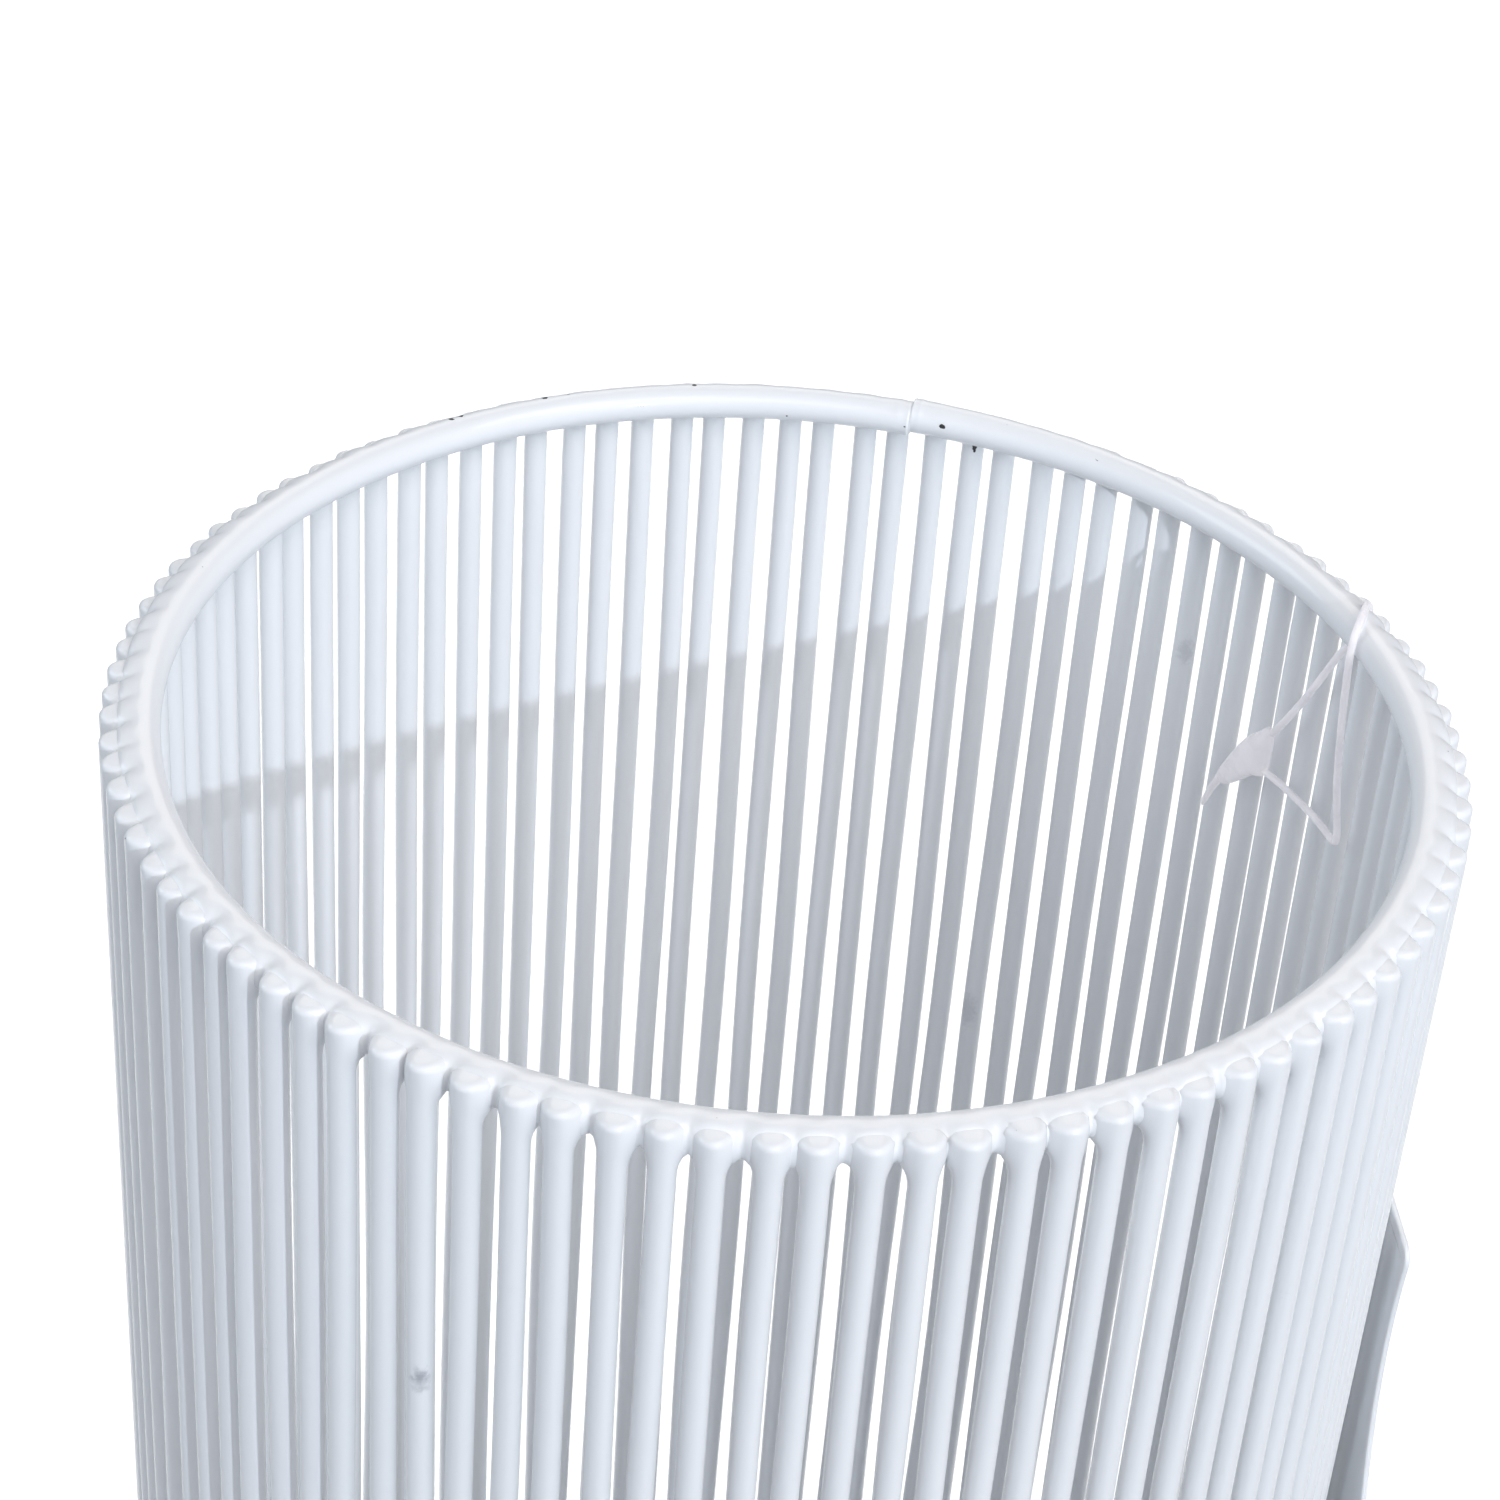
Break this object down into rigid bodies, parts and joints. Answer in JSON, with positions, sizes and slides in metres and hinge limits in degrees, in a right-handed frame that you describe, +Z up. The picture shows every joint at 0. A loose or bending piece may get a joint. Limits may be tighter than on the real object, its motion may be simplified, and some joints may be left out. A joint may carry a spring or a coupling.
{
  "type": "umbrella stand",
  "caption": "Round white wire umbrella stand: close upright rods welded round a top ring and a base ring, with a sheet floor, lift-out drip tray, feet and a plain wall plate.",
  "frame": {"origin": "centre of the footprint at floor level, on the underside of the feet", "axes": "+Z up along the basket's axis; -Y is the front of the stand and +X its right side"},
  "size_m": [0.2131, 0.2082, 0.4908],
  "materials": {
    "paint": "white satin powder coat over mild steel wire and sheet",
    "tray": "matte pale grey moulded plastic",
    "clear_plastic": "milky clear moulded plastic",
    "rubber": "matte dark grey rubber"
  },
  "bodies": {
    "basket": {"top_ring": "paint", "base_ring": "paint", "rods_1": "paint", "rods_2": "paint", "rods_3": "paint", "rods_4": "paint", "rods_5": "paint", "rods_6": "paint", "rods_7": "paint", "rods_8": "paint", "rods_9": "paint", "rods_10": "paint", "rods_11": "paint", "rods_12": "paint", "rods_13": "paint", "rods_14": "paint", "floor_plate": "paint", "wall_plate": "paint", "loop_fastener": "clear_plastic", "foot_1": "rubber", "foot_2": "rubber", "foot_3": "rubber", "foot_4": "rubber"},
    "tray": {"drip_tray": "tray"}
  },
  "joints": [
    {"name": "tray_lift", "type": "slide", "parent": "basket", "child": "tray", "axis": [0, 0, 1], "range_m": [0, 0.49]}
  ]
}
